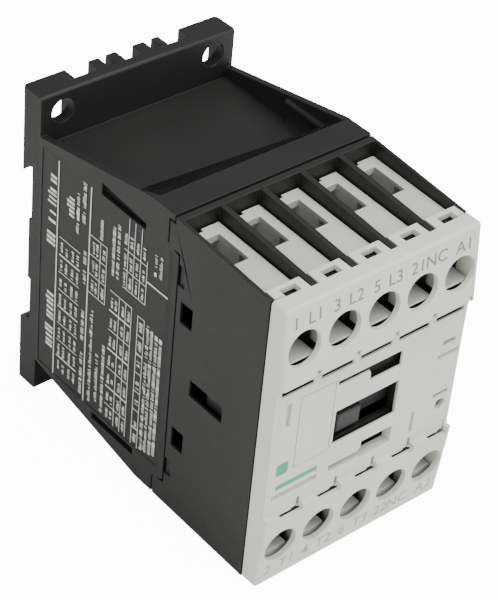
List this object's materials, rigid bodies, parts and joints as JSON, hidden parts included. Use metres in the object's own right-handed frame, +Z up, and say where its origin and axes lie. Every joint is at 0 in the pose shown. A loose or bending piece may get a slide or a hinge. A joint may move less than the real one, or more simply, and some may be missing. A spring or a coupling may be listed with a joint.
{
  "type": "magnetic motor starter",
  "caption": "Compact rail-mounted magnetic motor starter: black base and contact housing, light grey front with screw terminals, wire entries and a window on the moving contact carrier.",
  "frame": {"origin": "centre of the bounding box's bottom: under the middle of the device, at the foot of the fixing flange", "axes": "+X to the right seen from the front, +Y from the front towards the rail, +Z up; the front faces -Y"},
  "size_m": [0.045, 0.075, 0.068],
  "materials": {
    "black_polyamide": "fine moulded texture, satin-matt",
    "grey_polycarbonate": "light warm grey, fine moulded texture",
    "insert_plastic": "light grey, smoother than the cover",
    "label_plastic": "light grey, smooth",
    "carrier_plastic": "dark grey thermoset",
    "zinc_plated_steel": "zinc plated",
    "contact_brass": "stamped sheet with silver-coloured tips",
    "laminated_iron": "riveted laminations, lightly oiled",
    "enamelled_copper": "enamelled copper wire in layers",
    "spring_steel": "bright drawn wire"
  },
  "bodies": {
    "housing": {"base_housing": "black_polyamide", "contact_housing": "black_polyamide", "front_cover": "grey_polycarbonate", "marking_plate": "label_plastic", "terminal_insert_upper_l1": "insert_plastic", "terminal_insert_upper_l2": "insert_plastic", "terminal_insert_upper_l3": "insert_plastic", "terminal_insert_upper_aux": "insert_plastic", "terminal_insert_upper_coil": "insert_plastic", "terminal_insert_lower_l1": "insert_plastic", "terminal_insert_lower_l2": "insert_plastic", "terminal_insert_lower_l3": "insert_plastic", "terminal_insert_lower_aux": "insert_plastic", "terminal_insert_lower_coil": "insert_plastic", "fixed_contact_upper_l1": "contact_brass", "fixed_contact_upper_l2": "contact_brass", "fixed_contact_upper_l3": "contact_brass", "fixed_contact_upper_aux": "contact_brass", "fixed_contact_lower_l1": "contact_brass", "fixed_contact_lower_l2": "contact_brass", "fixed_contact_lower_l3": "contact_brass", "fixed_contact_lower_aux": "contact_brass", "coil_terminal_a1": "contact_brass", "coil_terminal_a2": "contact_brass", "magnet_core": "laminated_iron", "coil_bobbin": "carrier_plastic", "coil_winding": "enamelled_copper", "return_spring": "spring_steel", "latch_spring": "spring_steel"},
    "carrier": {"contact_carrier": "carrier_plastic", "armature": "laminated_iron", "contact_spring_l1": "spring_steel", "contact_spring_l2": "spring_steel", "contact_spring_l3": "spring_steel", "contact_spring_aux": "spring_steel"},
    "rail_latch": {"rail_latch": "black_polyamide"},
    "bridge_l1": {"bridge_l1": "contact_brass"},
    "bridge_l2": {"bridge_l2": "contact_brass"},
    "bridge_l3": {"bridge_l3": "contact_brass"},
    "bridge_aux": {"bridge_aux": "contact_brass"},
    "screw_upper_l1": {"terminal_screw_upper_l1": "zinc_plated_steel"},
    "cage_upper_l1": {"clamp_cage_upper_l1": "zinc_plated_steel"},
    "screw_upper_l2": {"terminal_screw_upper_l2": "zinc_plated_steel"},
    "cage_upper_l2": {"clamp_cage_upper_l2": "zinc_plated_steel"},
    "screw_upper_l3": {"terminal_screw_upper_l3": "zinc_plated_steel"},
    "cage_upper_l3": {"clamp_cage_upper_l3": "zinc_plated_steel"},
    "screw_upper_aux": {"terminal_screw_upper_aux": "zinc_plated_steel"},
    "cage_upper_aux": {"clamp_cage_upper_aux": "zinc_plated_steel"},
    "screw_upper_coil": {"terminal_screw_upper_coil": "zinc_plated_steel"},
    "cage_upper_coil": {"clamp_cage_upper_coil": "zinc_plated_steel"},
    "screw_lower_l1": {"terminal_screw_lower_l1": "zinc_plated_steel"},
    "cage_lower_l1": {"clamp_cage_lower_l1": "zinc_plated_steel"},
    "screw_lower_l2": {"terminal_screw_lower_l2": "zinc_plated_steel"},
    "cage_lower_l2": {"clamp_cage_lower_l2": "zinc_plated_steel"},
    "screw_lower_l3": {"terminal_screw_lower_l3": "zinc_plated_steel"},
    "cage_lower_l3": {"clamp_cage_lower_l3": "zinc_plated_steel"},
    "screw_lower_aux": {"terminal_screw_lower_aux": "zinc_plated_steel"},
    "cage_lower_aux": {"clamp_cage_lower_aux": "zinc_plated_steel"},
    "screw_lower_coil": {"terminal_screw_lower_coil": "zinc_plated_steel"},
    "cage_lower_coil": {"clamp_cage_lower_coil": "zinc_plated_steel"}
  },
  "joints": [
    {"name": "carrier_slide", "type": "slide", "parent": "housing", "child": "carrier", "axis": [0, 1, 0], "range_m": [0, 0.004], "stiffness_N_per_m": 600, "springref_m": -0.008, "deforming": ["return_spring"]},
    {"name": "latch_slide", "type": "slide", "parent": "housing", "child": "rail_latch", "axis": [0, 0, 1], "range_m": [-0.0025, 0], "stiffness_N_per_m": 900, "springref_m": 0.004, "deforming": ["latch_spring"]},
    {"name": "bridge_l1_overtravel", "type": "slide", "parent": "carrier", "child": "bridge_l1", "axis": [0, 1, 0], "range_m": [-0.001, 0], "deforming": ["contact_spring_l1"]},
    {"name": "bridge_l2_overtravel", "type": "slide", "parent": "carrier", "child": "bridge_l2", "axis": [0, 1, 0], "range_m": [-0.001, 0], "deforming": ["contact_spring_l2"]},
    {"name": "bridge_l3_overtravel", "type": "slide", "parent": "carrier", "child": "bridge_l3", "axis": [0, 1, 0], "range_m": [-0.001, 0], "deforming": ["contact_spring_l3"]},
    {"name": "bridge_aux_overtravel", "type": "slide", "parent": "carrier", "child": "bridge_aux", "axis": [0, 1, 0], "range_m": [-0.001, 0], "deforming": ["contact_spring_aux"]},
    {"name": "cage_upper_l1_lift", "type": "slide", "parent": "housing", "child": "cage_upper_l1", "axis": [0, 1, 0], "range_m": [-0.0048, 0]},
    {"name": "screw_upper_l1_turn", "type": "hinge", "parent": "housing", "child": "screw_upper_l1", "pos_m": [-0.018, -0.0319, 0.055], "axis": [0, 1, 0], "range_deg": [0, 2880]},
    {"name": "cage_upper_l2_lift", "type": "slide", "parent": "housing", "child": "cage_upper_l2", "axis": [0, 1, 0], "range_m": [-0.0048, 0]},
    {"name": "screw_upper_l2_turn", "type": "hinge", "parent": "housing", "child": "screw_upper_l2", "pos_m": [-0.009, -0.0319, 0.055], "axis": [0, 1, 0], "range_deg": [0, 2880]},
    {"name": "cage_upper_l3_lift", "type": "slide", "parent": "housing", "child": "cage_upper_l3", "axis": [0, 1, 0], "range_m": [-0.0048, 0]},
    {"name": "screw_upper_l3_turn", "type": "hinge", "parent": "housing", "child": "screw_upper_l3", "pos_m": [0, -0.0319, 0.055], "axis": [0, 1, 0], "range_deg": [0, 2880]},
    {"name": "cage_upper_aux_lift", "type": "slide", "parent": "housing", "child": "cage_upper_aux", "axis": [0, 1, 0], "range_m": [-0.0048, 0]},
    {"name": "screw_upper_aux_turn", "type": "hinge", "parent": "housing", "child": "screw_upper_aux", "pos_m": [0.009, -0.0319, 0.055], "axis": [0, 1, 0], "range_deg": [0, 2880]},
    {"name": "cage_upper_coil_lift", "type": "slide", "parent": "housing", "child": "cage_upper_coil", "axis": [0, 1, 0], "range_m": [-0.0048, 0]},
    {"name": "screw_upper_coil_turn", "type": "hinge", "parent": "housing", "child": "screw_upper_coil", "pos_m": [0.018, -0.0319, 0.055], "axis": [0, 1, 0], "range_deg": [0, 2880]},
    {"name": "cage_lower_l1_lift", "type": "slide", "parent": "housing", "child": "cage_lower_l1", "axis": [0, 1, 0], "range_m": [-0.0048, 0]},
    {"name": "screw_lower_l1_turn", "type": "hinge", "parent": "housing", "child": "screw_lower_l1", "pos_m": [-0.018, -0.0319, 0.0098], "axis": [0, 1, 0], "range_deg": [0, 2880]},
    {"name": "cage_lower_l2_lift", "type": "slide", "parent": "housing", "child": "cage_lower_l2", "axis": [0, 1, 0], "range_m": [-0.0048, 0]},
    {"name": "screw_lower_l2_turn", "type": "hinge", "parent": "housing", "child": "screw_lower_l2", "pos_m": [-0.009, -0.0319, 0.0098], "axis": [0, 1, 0], "range_deg": [0, 2880]},
    {"name": "cage_lower_l3_lift", "type": "slide", "parent": "housing", "child": "cage_lower_l3", "axis": [0, 1, 0], "range_m": [-0.0048, 0]},
    {"name": "screw_lower_l3_turn", "type": "hinge", "parent": "housing", "child": "screw_lower_l3", "pos_m": [0, -0.0319, 0.0098], "axis": [0, 1, 0], "range_deg": [0, 2880]},
    {"name": "cage_lower_aux_lift", "type": "slide", "parent": "housing", "child": "cage_lower_aux", "axis": [0, 1, 0], "range_m": [-0.0048, 0]},
    {"name": "screw_lower_aux_turn", "type": "hinge", "parent": "housing", "child": "screw_lower_aux", "pos_m": [0.009, -0.0319, 0.0098], "axis": [0, 1, 0], "range_deg": [0, 2880]},
    {"name": "cage_lower_coil_lift", "type": "slide", "parent": "housing", "child": "cage_lower_coil", "axis": [0, 1, 0], "range_m": [-0.0048, 0]},
    {"name": "screw_lower_coil_turn", "type": "hinge", "parent": "housing", "child": "screw_lower_coil", "pos_m": [0.018, -0.0319, 0.0098], "axis": [0, 1, 0], "range_deg": [0, 2880]}
  ],
  "couplings": [
    {"joint": "bridge_l1_overtravel", "follows": "carrier_slide", "ratio": -0.25},
    {"joint": "bridge_l2_overtravel", "follows": "carrier_slide", "ratio": -0.25},
    {"joint": "bridge_l3_overtravel", "follows": "carrier_slide", "ratio": -0.25},
    {"joint": "bridge_aux_overtravel", "follows": "carrier_slide", "ratio": -0.25},
    {"joint": "screw_upper_l1_turn", "follows": "cage_upper_l1_lift", "rad_per_m": -10472},
    {"joint": "screw_upper_l2_turn", "follows": "cage_upper_l2_lift", "rad_per_m": -10472},
    {"joint": "screw_upper_l3_turn", "follows": "cage_upper_l3_lift", "rad_per_m": -10472},
    {"joint": "screw_upper_aux_turn", "follows": "cage_upper_aux_lift", "rad_per_m": -10472},
    {"joint": "screw_upper_coil_turn", "follows": "cage_upper_coil_lift", "rad_per_m": -10472},
    {"joint": "screw_lower_l1_turn", "follows": "cage_lower_l1_lift", "rad_per_m": -10472},
    {"joint": "screw_lower_l2_turn", "follows": "cage_lower_l2_lift", "rad_per_m": -10472},
    {"joint": "screw_lower_l3_turn", "follows": "cage_lower_l3_lift", "rad_per_m": -10472},
    {"joint": "screw_lower_aux_turn", "follows": "cage_lower_aux_lift", "rad_per_m": -10472},
    {"joint": "screw_lower_coil_turn", "follows": "cage_lower_coil_lift", "rad_per_m": -10472}
  ]
}
